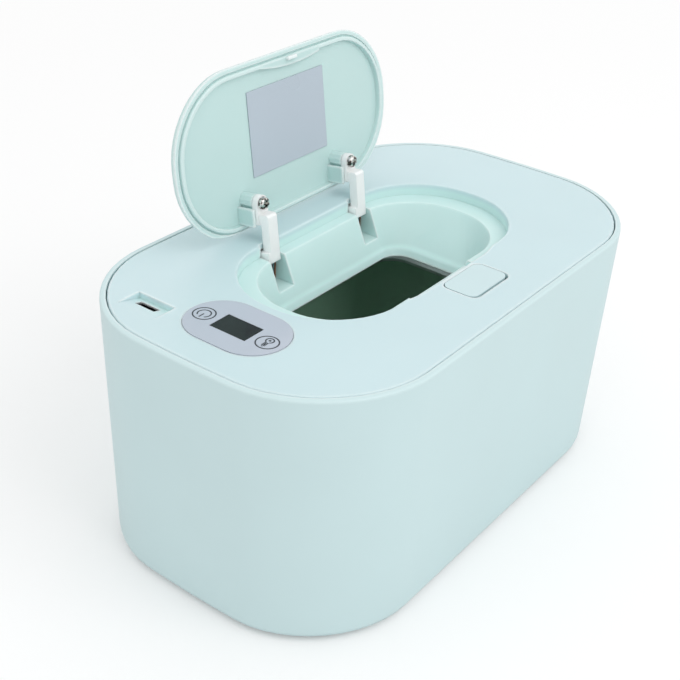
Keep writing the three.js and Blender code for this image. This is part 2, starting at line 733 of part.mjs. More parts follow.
function panelRecess() {
  const grow = 2 * bondGap;
  const windowX = display.moduleWidth / 2 + slideGap;
  const windowY = display.moduleLength / 2 + slideGap;
  return joined(
    upright(stadium(panelX, panel.y, panel.width + grow, panelLength + grow), top - panel.recess,
      top + overrun),
    block(displayX - windowX, displayX + windowX, panel.y - windowY, panel.y + windowY, deckUnder - overrun,
      top + overrun),
  );
}

// Ramp down to the inlet, and the slot through the plate over the socket
function usbRamp() {
  const half = usb.rampWidth / 2;
  const y = socket.y - usb.rampAside;
  const end = panelX - usb.rampEnd;
  const deep = panelX - usb.rampDeep;
  const wedge = alongY([[end, top], [deep, top - usb.rampDepth], [deep, top + overrun], [end, top + overrun]],
    y - half, y + half);
  const slot = upright(around(socket, usb.width / 2 + usb.gap, usb.length / 2 + usb.gap, usb.width / 3),
    deckUnder - usb.pad - overrun, top + overrun, round.small);
  return joined(wedge, slot);
}

// Rounded rectangle about a place, by its half sizes
function around(place, halfX, halfY, radius) {
  return roundedRectangle(place.x - halfX, place.x + halfX, place.y - halfY, place.y + halfY, radius);
}

piece(cover, 'deck_cover', deckCover(), material(colours.mint, 0.42));

// Tray that closes the cover from below, with a ribbed collar round the opening
function underTray() {
  const wallZ = trayTop + tray.wallHeight;
  const inside = deck.skirtStep + deck.skirt + tray.insideGap;
  const shape = joined(
    slab(body, trayBottom, trayTop, -deck.skirtStep - tray.edge, round.hidden),
    without(slab(body, trayTop - tray.floor / 2, wallZ, -inside, round.hidden),
      slab(body, trayTop, wallZ + overrun, -inside - tray.wall, round.hidden)),
    slab(openingForm, trayBottom, trayBottom + tray.collar, tray.collarWall, round.hidden),
  );
  const cuts = [
    ribbedOpening(), heaterRecess(), window(fuseX, fuse), window(sensorX, sensor),
    ...screwPlaces().map(([x, y]) => (
      rod(screw.shank + screwGap, x, y, trayBottom - overrun, trayTop + overrun)
    )),
    ...screwPlaces().map(([x, y]) => (
      rod(screw.head + screwGap, x, y, trayBottom - overrun, trayBottom + tray.floor / 2)
    )),
  ];
  return joined(without(shape, ...cuts), ...stakePlaces().map(heatStake));
}

// Opening through the tray, with ridges round its wall
function ribbedOpening() {
  const levels = [ring(openingForm, trayBottom - overrun, 0, round.hidden)];
  const pitch = tray.collar / (tray.ridges + 1);
  const half = tray.ridgeHeight / 2;
  for (let ridge = 1; ridge <= tray.ridges; ridge += 1) {
    const z = trayBottom + ridge * pitch;
    levels.push(ring(openingForm, z - half, 0, round.hidden));
    levels.push(ring(openingForm, z, -tray.ridge, round.hidden));
    levels.push(ring(openingForm, z + half, 0, round.hidden));
  }
  levels.push(ring(openingForm, trayBottom + tray.collar + overrun, 0, round.hidden));
  return loft(levels);
}

// Shallow recess under the tray for the heater film, round the collar
function heaterRecess() {
  return without(
    slab(heaterForm, trayBottom - overrun, trayBottom + tray.recess, seatGap - heater.filmMargin / 2,
      round.hidden),
    slab(openingForm, trayBottom - overrun - bondGap, trayBottom + tray.recess + bondGap, tray.collarWall,
      round.hidden),
  );
}

// Window through the tray for a part on the heater film
function window(x, form) {
  const halfX = form.radius + fuse.window;
  const halfY = form.length / 2 + fuse.window;
  return block(x - halfX, x + halfX, form.y - halfY, form.y + halfY, trayBottom - overrun, trayTop + overrun);
}

// Stake through the heater plate, its end melted over to a head
function heatStake([x, y]) {
  const headTop = heaterTop() - heater.thickness - seatGap;
  return joined(
    rod(tray.stakeRadius, x, y, headTop - bondGap, trayBottom + tray.floor / 2),
    rod(tray.stakeHead, x, y, headTop - tray.stakeHeadHeight, headTop),
  );
}

function heaterTop() {
  return trayBottom - seatGap;
}

function stakePlaces() {
  const reachX = heaterForm.length / 2 - tray.stakeFromEnd;
  const reachY = heaterForm.width / 2 - tray.stakeFromSide;
  return fourCorners(reachX, reachY).map(({ x, y }) => [heaterForm.x + x, heaterForm.y + y]);
}

// Plates pressed against the tray's underside, with the opening and the stake holes through them
function platePiece(z0, z1, grow, holeGrow, openingGrow) {
  let plate = slab(heaterForm, z0, z1, grow, round.plain / 2);
  plate = plate.subtract(slab(openingForm, z0 - overrun, z1 + overrun, openingGrow, round.plain / 2));
  for (const [x, y] of stakePlaces()) {
    plate = plate.subtract(rod(tray.stakeRadius + holeGrow, x, y, z0 - overrun, z1 + overrun));
  }
  return plate;
}

function heaterPlate() {
  return platePiece(heaterTop() - heater.thickness, heaterTop(), 0, seatGap, tray.ridge);
}

function heaterFilm() {
  const z = heaterTop() + bondGap;
  return platePiece(z, z + heater.film, -heater.filmMargin, tray.stakeRadius,
    tray.collarWall + heater.margin);
}

piece(cover, 'under_tray', underTray(), material(colours.grey, 0.55));
piece(cover, 'heater_plate', heaterPlate(), material(colours.aluminium, 0.35, 1));
piece(cover, 'heater_film', heaterFilm(), material(colours.amber, 0.4));
const filmTop = heaterTop() + bondGap + heater.film + bondGap;
piece(cover, 'thermal_fuse',
  rodAlongY(fuse.radius, fuseX, fuse.y - fuse.length / 2, fuse.y + fuse.length / 2, filmTop + fuse.radius),
  material(colours.white, 0.5));
piece(cover, 'temperature_sensor',
  rodAlongY(sensor.radius, sensorX, sensor.y - sensor.length / 2, sensor.y + sensor.length / 2,
    filmTop + sensor.radius),
  material(colours.black, 0.4));
screwPlaces().forEach(([x, y], index) => {
  const placed = upsideScrew(screw, x, y, trayBottom + tray.floor / 2 - bondGap);
  piece(cover, `tray_screw_${index + 1}`, placed, material(colours.steel, 0.3, 1));
});

// Controls: board, display, touch contacts, charging socket and the printed panel over them
function controlBoard() {
  const z = boardTop();
  const low = z - board.thickness;
  const plate = blockAbout(boardPlace, board.width / 2, boardLength / 2, low, z);
  const chip = board.chip / 2;
  const chips = [boardPlace.y - board.chipShare * boardLength, panel.y].map((y) => (
    blockAbout({ x: boardPlace.x, y }, chip, chip, low - board.chipHeight, low + board.thickness / 2)
  ));
  const holes = boardScrewPlaces().map(([x, y]) => (
    rod(boardScrew.shank + screwGap, x, y, low - overrun, z + overrun)
  ));
  return without(joined(plate, ...chips), ...holes);
}

// Block about a place, by its half sizes
function blockAbout(place, halfX, halfY, z0, z1) {
  return block(place.x - halfX, place.x + halfX, place.y - halfY, place.y + halfY, z0, z1);
}

const displayPlace = { x: displayX, y: panel.y };

function displayModule() {
  const z = boardTop() + bondGap;
  return blockAbout(displayPlace, display.moduleWidth / 2, display.moduleLength / 2, z,
    z + display.moduleHeight - bondGap);
}

function displayWindow() {
  const z = boardTop() + display.moduleHeight + bondGap;
  const flange = z + display.glass - bondGap;
  return joined(
    blockAbout(displayPlace, display.moduleWidth / 2, display.moduleLength / 2, z, flange - bondGap),
    blockAbout(displayPlace, display.width / 2 - bondGap, display.length / 2 - bondGap, z,
      panelTop() - bondGap / 2),
  );
}

function panelTop() {
  return top - panel.recess + bondGap + panel.thickness;
}

function controlPanel() {
  const z = top - panel.recess + bondGap;
  return without(
    upright(stadium(panelX, panel.y, panel.width, panelLength), z, panelTop()),
    blockAbout(displayPlace, display.width / 2, display.length / 2, z - overrun, panelTop() + overrun),
  );
}

function usbSocket() {
  const z0 = boardTop() + bondGap;
  const z1 = deckUnder - usb.gap;
  const halfX = usb.width / 2;
  const halfY = usb.length / 2;
  const can = upright(around(socket, halfX, halfY, halfX / 2), z0, z1, round.small);
  const inX = halfX - usb.wall;
  const inY = halfY - usb.wall;
  const hollow = upright(around(socket, inX, inY, inX / 2), z0 + usb.wall, z1 + overrun, round.small);
  const tongue = blockAbout(socket, usb.tongue / 2, usb.tongueLength / 2, z0 + usb.wall / 2, z1 - usb.wall);
  return joined(without(can, hollow), tongue);
}

// Conical contact spring between the board and the back of the deck, under one touch symbol
function touchSpring(y) {
  const low = boardTop() + bondGap + touch.wire;
  const high = deckUnder - seatGap - touch.wire;
  const coil = new Coil((t) => {
    const angle = t * touch.turns * 2 * Math.PI;
    const radius = touch.radius + (touch.top - touch.radius) * t;
    return new THREE.Vector3(displayX + radius * Math.cos(angle), y + radius * Math.sin(angle),
      low + (high - low) * t);
  });
  return wire([coil], touch.wire, touch.turns * round.turn);
}

piece(cover, 'control_board', controlBoard(), material(colours.board, 0.5));
piece(cover, 'display_module', displayModule(), material(colours.black, 0.5));
piece(cover, 'display_window', displayWindow(), material(colours.glass, 0.15));
piece(cover, 'control_panel', controlPanel(), material(colours.panel, 0.35));
piece(cover, 'usb_socket', usbSocket(), material(colours.steel, 0.3, 1));
const springGaps = {};
[['touch_spring_power', 1], ['touch_spring_heat', -1]].forEach(([name, side]) => {
  const spring = touchSpring(panel.y + side * touch.placeShare * panelLength);
  springGaps[name] = spring.gap;
  piece(cover, name, spring.geometry, material(colours.steel, 0.3, 1));
});
boardScrewPlaces().forEach(([x, y], index) => {
  const placed = upsideScrew(boardScrew, x, y, boardTop() - board.thickness - bondGap);
  piece(cover, `board_screw_${index + 1}`, placed, material(colours.steel, 0.3, 1));
});

// Hinge pins and the torsion springs that throw the lid open
function hingePin(x) {
  const reach = hinge.slot / 2 + hinge.cheek;
  return rodAlongX(hinge.pin, x - reach, x + reach, hingeY, pivotZ);
}

function torsionSpring(x) {
  const last = x + hinge.slot / 2 - torsion.inset;
  const first = last - torsion.turns * torsion.pitch;
  const place = (t) => {
    const angle = Math.PI - t * torsion.turns * 2 * Math.PI;
    return new THREE.Vector3(first + (last - first) * t, hingeY + torsion.coil * Math.cos(angle),
      pivotZ + torsion.coil * Math.sin(angle));
  };
  const low = pivotZ - torsion.coil;
  const front = hingeY - torsion.coil;
  const foot = hingeY - torsion.foot;
  const toe = new THREE.Vector3(first - torsion.bend - torsion.toe, front, pivotZ - torsion.bend);
  const toeEnd = new THREE.Vector3(first - torsion.bend, front, pivotZ - torsion.bend);
  const toeCorner = new THREE.Vector3(first, front, pivotZ - torsion.bend);
  const bendStart = new THREE.Vector3(last, foot + torsion.bend, low);
  const corner = new THREE.Vector3(last, foot, low);
  const bendEnd = new THREE.Vector3(last, foot, low - torsion.bend);
  const heel = new THREE.Vector3(last, foot, top - hinge.slotFloor + seatGap);
  return wire([
    new THREE.LineCurve3(toe, toeEnd),
    new THREE.QuadraticBezierCurve3(toeEnd, toeCorner, place(0)),
    new Coil(place),
    new THREE.LineCurve3(place(1), bendStart),
    new THREE.QuadraticBezierCurve3(bendStart, corner, bendEnd),
    new THREE.LineCurve3(bendEnd, heel),
  ], torsion.wire, Math.round(torsion.turns * torsion.steps));
}

hingeXs.forEach((x, index) => {
  const side = index === 0 ? 'left' : 'right';
  piece(cover, `hinge_pin_${side}`, hingePin(x), material(colours.steel, 0.25, 1));
  const spring = torsionSpring(x);
  springGaps[`torsion_spring_${side}`] = spring.gap;
  piece(cover, `torsion_spring_${side}`, spring.geometry, material(colours.copper, 0.35, 1));
});

// Button: cap, lever and latch hook in one moulding that rocks on a steel pin
function releaseButton() {
  const half = button.length / 2;
  const capUnder = top - button.thickness;
  const outline = roundedRectangle(button.x - half, button.x + half, buttonFront, buttonBack, button.radius);
  const hollow = roundedRectangle(button.x - half + button.wall, button.x + half - button.wall,
    buttonFront + button.wall, buttonBack - button.wall, button.radius - button.wall);
  const rim = without(
    upright(outline, deckUnder - button.skirt / 2, capUnder + bondGap),
    upright(hollow, deckUnder - button.skirt, capUnder),
  );
  const leverHalf = button.lever / 2;
  const barrel = rodAlongX(button.barrel, button.x - leverHalf, button.x + leverHalf, buttonPivotY,
    top - button.pivotDrop);
  return without(joined(upright(outline, capUnder, top), rim, buttonLever(), latchHook(), barrel),
    buttonPinBore(boreGap));
}

// Web down from the cap and the arm that reaches under the ledge
function buttonLever() {
  const half = button.lever / 2;
  const capUnder = top - button.thickness + bondGap;
  const bottom = top - button.leverBottom;
  const upper = top - button.leverTop;
  const web = basinFront - button.web;
  return alongX([
    [web - button.webThickness, capUnder], [web - button.webThickness, bottom], [hookBack(), bottom],
    [hookBack(), upper], [web, upper], [web, capUnder],
  ], button.x - half, button.x + half);
}

function hookBack() {
  return basinFront + hook.front + hook.thickness;
}

function latchHook() {
  const half = hook.width / 2;
  const front = basinFront + hook.front;
  const bottom = top - button.leverBottom;
  const tip = top - hook.drop;
  return alongX([
    [front, bottom], [hookBack(), bottom], [hookBack(), tip - hook.barbHeight],
    [hookBack() + hook.barb, tip - hook.barbHeight], [hookBack(), tip], [front, tip],
  ], hook.x - half, hook.x + half);
}

function buttonPin() {
  const reach = button.lever / 2 + slideGap + button.cheek;
  return rodAlongX(button.pin, button.x - reach, button.x + reach, buttonPivotY, top - button.pivotDrop);
}

function pressSpring() {
  const low = top - press.seatDrop + bondGap + press.wire;
  const high = top - button.thickness - seatGap - press.wire;
  const coil = new Coil((t) => {
    const angle = t * press.turns * 2 * Math.PI;
    return new THREE.Vector3(button.x + press.coil * Math.cos(angle),
      basinFront - press.y + press.coil * Math.sin(angle), low + (high - low) * t);
  });
  return wire([coil], press.wire, press.turns * round.turn);
}

piece(part, 'release_button', releaseButton(), material(colours.mint, 0.4));
piece(cover, 'button_pin', buttonPin(), material(colours.steel, 0.25, 1));
const buttonSpring = pressSpring();
springGaps.button_spring = buttonSpring.gap;
piece(cover, 'button_spring', buttonSpring.geometry, material(colours.steel, 0.3, 1));

// Lid, modelled shut: s runs from its back edge to the front, o from its seating face downwards
const pivot = new THREE.Vector3(0, hingeY, pivotZ);
const lidGroup = new THREE.Group();
lidGroup.position.copy(pivot);
lidGroup.rotation.x = -THREE.MathUtils.degToRad(hinge.opened);
part.add(lidGroup);

const lidForm = {
  ...basin, x: basin.x + lid.shift, length: basin.length - 2 * lid.endClearance,
  width: basin.width - 2 * lid.clearance, radius: basin.radius - lid.clearance,
};
const atS = (s) => lidBack - s;
const atO = (o) => lidSeat - o;

function flipLid() {
  const flangeFace = lidSeat + lid.flangeLift;
  const skinUnder = top - lid.skin;
  const outside = [ring(lidForm, flangeFace), ring(lidForm, top - lid.edgeRadius)];
  for (let step = 1; step <= round.small; step += 1) {
    const angle = step / round.small * Math.PI / 2;
    const z = top - lid.edgeRadius * (1 - Math.sin(angle));
    outside.push(ring(lidForm, z, -lid.edgeRadius * (1 - Math.cos(angle))));
  }
  const ringOut = -lid.flange - lid.groove;
  const ease = lid.groove / 2;
  const sealRing = loft([
    ring(lidForm, lidSeat, ringOut - ease),
    ring(lidForm, lidSeat + ease, ringOut),
    ring(lidForm, skinUnder + bondGap, ringOut),
  ]);
  let shape = joined(loft(outside), sealRing, catchOutline(lidSeat, top - lid.edgeRadius));
  shape = without(shape, lidGroove(), lidHollow());
  for (const x of hingeXs) {
    const bossX = x + tabMiddle();
    shape = joined(
      shape,
      rod(boss.radius, bossX, atS(arm.screw), atO(arm.tabBack - seatGap), skinUnder + bondGap),
      block(x - fin.left, x - fin.left + fin.thickness, atS(fin.high), atS(fin.low), atO(fin.reach),
        skinUnder + bondGap),
    );
    shape = without(shape, rod(armScrew.shank + boreGap, bossX, atS(arm.screw), atO(arm.tabBack) - overrun,
      atO(arm.tabFront) + armScrew.length + bondGap));
  }
  return without(shape, basinEdgeSweep()).add(catchTongue());
}

// Groove between the lid's flange and its seal ring
function lidGroove() {
  const z = lidSeat + lid.flangeLift + lid.grooveDepth;
  return without(
    slab(lidForm, lidSeat - overrun, z, -lid.flange),
    slab(lidForm, lidSeat - overrun - bondGap, z + bondGap, -lid.flange - lid.groove),
  );
}

// Hollow inside the seal ring, with a slight draft, left out at the catch pad
function lidHollow() {
  const ringIn = -lid.flange - lid.groove - lid.ring;
  return without(
    loft([
      ring(lidForm, lidSeat - overrun, ringIn),
      ring(lidForm, lidSeat, ringIn),
      ring(lidForm, top - lid.skin, ringIn - lid.draft),
    ]),
    catchOutline(lidSeat - overrun - bondGap, top),
  );
}

// What the basin's back edge sweeps as seen from the turning lid: its outline revolved about the hinge
function basinEdgeSweep() {
  const edge = ring(basin, top).filter((point) => point.y > basin.y).sort((a, b) => a.x - b.x);
  const profile = edge.map((point) => (
    new THREE.Vector2(Math.hypot(hingeY - point.y, hinge.drop) + lid.sweepGap, point.x)
  ));
  const ends = [new THREE.Vector2(0, profile[0].y), new THREE.Vector2(0, profile[profile.length - 1].y)];
  const lathe = new THREE.LatheGeometry([ends[0], ...profile, ends[1]], round.sweep);
  lathe.rotateZ(-Math.PI / 2);
  lathe.translate(0, hingeY, pivotZ);
  return solid(lathe);
}

function tabMiddle() {
  return (arm.right - arm.left) / 2;
}

// Pad behind the seal ring at the front of the lid, its inner edge an arc deeper at the right end
function catchOutline(z0, z1) {
  const half = catchPad.lengthShare * basin.length / 2;
  const shape = new THREE.Shape();
  shape.moveTo(hook.x - half, lidFront + catchPad.outer);
  shape.lineTo(hook.x + half, lidFront + catchPad.outer);
  shape.lineTo(hook.x + half, lidFront + catchPad.right);
  shape.quadraticCurveTo(hook.x, lidFront + catchPad.middle, hook.x - half, lidFront + catchPad.left);
  shape.closePath();
  return upright(shape, z0, z1);
}

// Small barbed tongue under the pad: its barb lies below the hook's barb once the lid is shut
function catchTongue() {
  const half = catchPad.tongue / 2;
  const tip = hookBack() + catchPad.gap;
  const stem = tip + hook.barb;
  const low = lidSeat - catchPad.drop;
  const barbTop = top - hook.drop - hook.barbHeight - catchPad.gap;
  return alongX([
    [stem, lidSeat + bondGap], [stem, barbTop], [tip, barbTop], [stem, low], [stem + catchPad.thickness, low],
    [stem + catchPad.thickness, lidSeat + bondGap],
  ], hook.x - half, hook.x + half);
}

// Where the spring's toe sits in the arm's neck once the lid is shut
function toeHole(x) {
  const turn = THREE.MathUtils.degToRad(hinge.opened);
  const toe = new THREE.Vector3(0, -torsion.coil, -torsion.bend);
  toe.applyAxisAngle(new THREE.Vector3(1, 0, 0), turn);
  return rodAlongX(torsion.wire + slideGap, x - arm.neckLeft + arm.toeWall, x + hinge.slot, hingeY + toe.y,
    pivotZ + toe.z);
}

function hingeArm(x) {
  const left = x - arm.left;
  const right = x + arm.right;
  const leg = alongX([
    [atS(-arm.heel + pivotS()), atO(arm.back)], [atS(arm.top), atO(arm.back)],
    [atS(arm.top), atO(arm.front - arm.chamfer)], [atS(arm.top - arm.chamfer), atO(arm.front)],
    [atS(-arm.heel + pivotS()), atO(arm.front)],
  ], left, right);
  const heel = pivotS() - arm.heel;
  const neck = block(x - arm.neckLeft, x + arm.neckRight, atS(heel + arm.neck), atS(heel), atO(arm.front),
    pivotZ);
  const barrelHalf = hinge.slot / 2 - slideGap;
  const barrel = rodAlongX(hinge.barrel, x - barrelHalf, x + barrelHalf, hingeY, pivotZ);
  const tabOutline = new THREE.Shape();
  const middle = x + tabMiddle();
  tabOutline.moveTo(middle + arm.tabHalf, atS(arm.tabLow));
  tabOutline.lineTo(middle - arm.tabHalf, atS(arm.tabLow));
  tabOutline.lineTo(middle - arm.tabHalf, atS(arm.screw));
  tabOutline.absarc(middle, atS(arm.screw), arm.tabHalf, Math.PI, 2 * Math.PI, false);
  tabOutline.closePath();
  const tab = upright(tabOutline, atO(arm.tabFront), atO(arm.tabBack));
  const web = block(left, right, atS(arm.top), atS(arm.tabLow), atO(arm.back) - bondGap,
    atO(arm.tabFront) + bondGap);
  return without(
    joined(leg, neck, barrel, tab, web),
    rodAlongX(hinge.pin + boreGap, x - hinge.slot, x + hinge.slot, hingeY, pivotZ),
    toeHole(x),
    rod(armScrew.shank + screwGap, middle, atS(arm.screw), atO(arm.front) - overrun,
      atO(arm.tabBack) + overrun),
  );
}

// Place of the pivot along s, behind the lid's back edge
function pivotS() {
  return lidBack - hingeY;
}

function stickerPlate() {
  const z = top - lid.skin - bondGap - label.thickness;
  const place = { x: basin.x + label.aside, y: basin.y - label.below };
  return blockAbout(place, label.lengthShare * basin.length / 2, label.widthShare * basin.width / 2, z,
    z + label.thickness);
}

piece(lidGroup, 'flip_lid', flipLid(), material(colours.mint, 0.4), pivot);
hingeXs.forEach((x, index) => {
  const side = index === 0 ? 'left' : 'right';
  piece(lidGroup, `hinge_arm_${side}`, hingeArm(x), material(colours.white, 0.4), pivot);
  const placed = upsideScrew(armScrew, x + tabMiddle(), atS(arm.screw), atO(arm.tabFront) - bondGap,
    round.fine);
  piece(lidGroup, `arm_screw_${side}`, placed, material(colours.steel, 0.2, 1), pivot);
});
piece(lidGroup, 'lid_sticker', stickerPlate(), material(colours.panel, 0.4), pivot);

for (const [name, gap] of Object.entries(springGaps)) {
  console.log(`${name}: least gap between its turns ${gap.toFixed(2)} mm`);
}

export default part;
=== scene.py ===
# %% [markdown]
# # Dressing a baby wipe warmer
# The CAD model already holds every solid: a bin of mint plastic, a lift-off cover with its controls, and
# a lid that stands open on two arms. This lesson gives each solid the surface of its real material,
# prints the touch symbols on the panel, and lights the whole as a catalogue picture would be. The packed
# model is loaded first, because every later piece is placed by it.

import math

import bmesh
import bpy
from mathutils import Matrix, Vector


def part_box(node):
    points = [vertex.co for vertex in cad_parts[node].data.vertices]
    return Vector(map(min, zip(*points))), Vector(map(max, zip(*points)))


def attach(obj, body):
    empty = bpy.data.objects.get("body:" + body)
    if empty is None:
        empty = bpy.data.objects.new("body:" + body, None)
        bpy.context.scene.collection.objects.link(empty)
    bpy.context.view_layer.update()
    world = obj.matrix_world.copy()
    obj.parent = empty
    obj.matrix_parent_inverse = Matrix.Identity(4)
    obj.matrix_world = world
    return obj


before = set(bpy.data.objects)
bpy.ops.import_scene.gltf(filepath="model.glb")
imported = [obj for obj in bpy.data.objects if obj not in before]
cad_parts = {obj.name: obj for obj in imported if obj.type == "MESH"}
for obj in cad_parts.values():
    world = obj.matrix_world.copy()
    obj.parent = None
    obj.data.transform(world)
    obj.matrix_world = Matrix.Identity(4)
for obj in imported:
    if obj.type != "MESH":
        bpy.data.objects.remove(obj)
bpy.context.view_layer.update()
MM = 0.001

# %% [markdown]
# ## The camera
# The photograph was taken from the panel's end, about thirty degrees above the table, and slightly
# rolled. A camera placed by hand drifts; this one was worked out from the body's outline, so it is
# written as an azimuth, an elevation, a roll and a distance, and its three axes follow from those.

# %% Camera
CAMERA = {"azimuth": -54.17, "elevation": 31.05, "roll": 2.97, "distance": 0.4592, "lens": 64.53}
LOOKED_AT = Vector((0.00432, 0.01775, 0.04706))


def camera_axes(azimuth, elevation, roll):
    """The camera's right, up and backward directions, with the angles in degrees."""
    a, e, r = (math.radians(angle) for angle in (azimuth, elevation, roll))
    back = Vector((math.sin(a) * math.cos(e), -math.cos(a) * math.cos(e), math.sin(e)))
    right = Vector((math.cos(a), math.sin(a), 0))
    up = back.cross(right)
    return math.cos(r) * right + math.sin(r) * up, math.cos(r) * up - math.sin(r) * right, back


axes = camera_axes(CAMERA["azimuth"], CAMERA["elevation"], CAMERA["roll"])
camera = bpy.data.objects.new("camera", bpy.data.cameras.new("camera"))
camera.data.lens = CAMERA["lens"]
camera.data.sensor_width = 36
camera.data.clip_start = 0.01
facing = Matrix(axes).transposed().to_4x4()
camera.matrix_world = Matrix.Translation(LOOKED_AT + CAMERA["distance"] * axes[2]) @ facing
bpy.context.scene.collection.objects.link(camera)
bpy.context.scene.camera = camera
bpy.context.scene.view_settings.view_transform = "Standard"
print("camera at", [round(c, 4) for c in camera.matrix_world.translation])

# %% [markdown]
# ## Small functions for nodes and colours
# A shader is a small graph. Writing each node by hand takes four lines, so one function adds a node, sets
# its own settings, and fills each input with a value or with a link. Four more are for the nodes that
# come again and again: a sum, a change of range, a mix of two colours and a noise. Colours are written as
# the sRGB values that a paint chart shows, and turned to the linear values that light works with.

# %% Node and colour helpers
def linear(colour):
    """An sRGB hex colour such as "#cfe6e9" as linear red, green and blue, with an alpha of one."""
    levels = [int(colour[i : i + 2], 16) / 255 for i in (1, 3, 5)]
    return [c / 12.92 if c <= 0.04045 else ((c + 0.055) / 1.055) ** 2.4 for c in levels] + [1.0]


def add(tree, kind, inputs=None, **settings):
    """Adds a node. inputs maps a socket's name or number to a value or to another node's output."""
    made = tree.nodes.new(kind)
    for name, value in settings.items():
        setattr(made, name, value)
    for socket, value in (inputs or {}).items():
        if isinstance(value, bpy.types.NodeSocket):
            tree.links.new(value, made.inputs[socket])
        else:
            made.inputs[socket].default_value = value
    return made


def per_metre(size_mm):
    """The noise scale at which one grain of the pattern is size_mm across."""
    return 1 / (size_mm * MM)


# A Mix node has sockets for every kind of data; these are the numbers of those for colours.
MIX_UNDER, MIX_OVER, MIX_RESULT = 6, 7, 2


def maths(tree, operation, *values):
    """The result of a Math node."""
    return add(tree, "ShaderNodeMath", dict(enumerate(values)), operation=operation).outputs[0]


def ranged(tree, value, start, end, low=0.0, high=1.0, **settings):
    """The value, carried over from the range start to end to the range low to high."""
    limits = {"Value": value, "From Min": start, "From Max": end, "To Min": low, "To Max": high}
    return add(tree, "ShaderNodeMapRange", limits, **settings).outputs[0]


def mixed(tree, amount, under, over):
    """The colour under, turned towards the colour over by amount."""
    inputs = {"Factor": amount, MIX_UNDER: under, MIX_OVER: over}
    return add(tree, "ShaderNodeMix", inputs, data_type="RGBA").outputs[MIX_RESULT]


def noise(tree, place, size_mm, detail=2.0):
    """A cloudy pattern from 0 to 1 whose grains are size_mm across."""
    inputs = {"Vector": place, "Scale": per_metre(size_mm), "Detail": detail}
    return add(tree, "ShaderNodeTexNoise", inputs).outputs["Fac"]


def empty_material(name):
    """A material with nothing but its output, and the output node."""
    made = bpy.data.materials.new(name)
    made.use_nodes = True
    made.node_tree.nodes.clear()
    return made, add(made.node_tree, "ShaderNodeOutputMaterial")


print("mint in linear light:", [round(c, 3) for c in linear("#cfe6e9")])

# %% [markdown]
# ## Studio light
# The photograph has a white sweep and big soft lights: the deck and the long side are equally bright, and
# the panel's end is about a sixth darker. A pale world gives most of the light, one large softbox above
# the front adds the rest, and a weak one keeps the panel's end from going flat. The world shows as plain
# white to the camera and in reflections.

# %% World and lamps
SKY = 0.93
world = bpy.data.worlds.new("studio")
bpy.context.scene.world = world
world.use_nodes = True
world.node_tree.nodes.clear()
tree = world.node_tree
rays = add(tree, "ShaderNodeLightPath").outputs
seen = maths(tree, "MAXIMUM", rays["Is Camera Ray"], rays["Is Glossy Ray"])
seen = maths(tree, "MAXIMUM", seen, rays["Is Transmission Ray"])
level = ranged(tree, seen, 0.0, 1.0, SKY, 1.0)
sky = add(tree, "ShaderNodeBackground", {"Color": (1, 1, 1, 1), "Strength": level})
add(tree, "ShaderNodeOutputWorld", {"Surface": sky.outputs[0]})


def softbox(name, place, aim, size, watts):
    """A square area lamp that faces the point it is aimed at, in metres."""
    lamp = bpy.data.objects.new(name, bpy.data.lights.new(name, "AREA"))
    lamp.data.size = size
    lamp.data.energy = watts
    lamp.location = place
    lamp.rotation_euler = (Vector(aim) - Vector(place)).to_track_quat("-Z", "Y").to_euler()
    bpy.context.scene.collection.objects.link(lamp)


BODY_CENTRE = (0, 0, 0.06)
softbox("key_softbox", (0.02, -0.85, 0.95), BODY_CENTRE, 0.8, 3.2)
softbox("fill_softbox", (-1.1, -0.2, 0.7), BODY_CENTRE, 0.7, 0.3)
print("sky level", SKY)

# %% [markdown]
# ## The table
# A sweep of white paper: a plain matt sheet that takes the object's soft shadow. Two things are added for
# camera rays alone, so that they put no more light on the object. A little glow lifts the paper to the
# page's white. Farther out the paper fades to that white altogether, so that a low view shows no horizon.

# %% Floor
FLOOR_HALF = 4.0
PAPER_GLOW = 0.16
FADE_STARTS, FADE_ENDS = 0.35, 1.2
corners = [(x * FLOOR_HALF, y * FLOOR_HALF, 0) for x, y in ((-1, -1), (1, -1), (1, 1), (-1, 1))]
floor_mesh = bpy.data.meshes.new("floor")
floor_mesh.from_pydata(corners, [], [(0, 1, 2, 3)])
floor = bpy.data.objects.new("floor", floor_mesh)
bpy.context.scene.collection.objects.link(floor)
paper, out = empty_material("matt_white_sweep_paper")
tree = paper.node_tree
to_camera = add(tree, "ShaderNodeLightPath").outputs["Is Camera Ray"]
sheet = add(tree, "ShaderNodeBsdfDiffuse", {"Color": linear("#e9e9e9")})
shine = add(tree, "ShaderNodeEmission", {"Strength": maths(tree, "MULTIPLY", to_camera, PAPER_GLOW)})
both = add(tree, "ShaderNodeAddShader", {0: sheet.outputs[0], 1: shine.outputs[0]})
place = add(tree, "ShaderNodeTexCoord").outputs["Object"]
away = add(tree, "ShaderNodeVectorMath", {0: place}, operation="LENGTH").outputs["Value"]
fade = maths(tree, "MULTIPLY", ranged(tree, away, FADE_STARTS, FADE_ENDS), to_camera)
page = add(tree, "ShaderNodeEmission", {"Strength": 1.0})
sweep = add(tree, "ShaderNodeMixShader", {0: fade, 1: both.outputs[0], 2: page.outputs[0]})
tree.links.new(sweep.outputs[0], out.inputs["Surface"])
floor.data.materials.append(paper)
print("floor is", 2 * FLOOR_HALF, "m wide")

# %% [markdown]
# ## Edges and smoothness
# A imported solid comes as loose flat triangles. Real mouldings are smooth where they curve and crisp where
# two faces meet, so a small set of geometry nodes joins the triangles and marks as sharp only the edges
# that bend by more than an angle. Weighted normals then keep the large flat faces flat beside their small
# fillets. Both are modifiers, so the solid itself stays as it was packed.

# %% Smoothing that leaves the solid alone
SHARP_FROM = 32
JOINED_WITHIN = 0.002 * MM


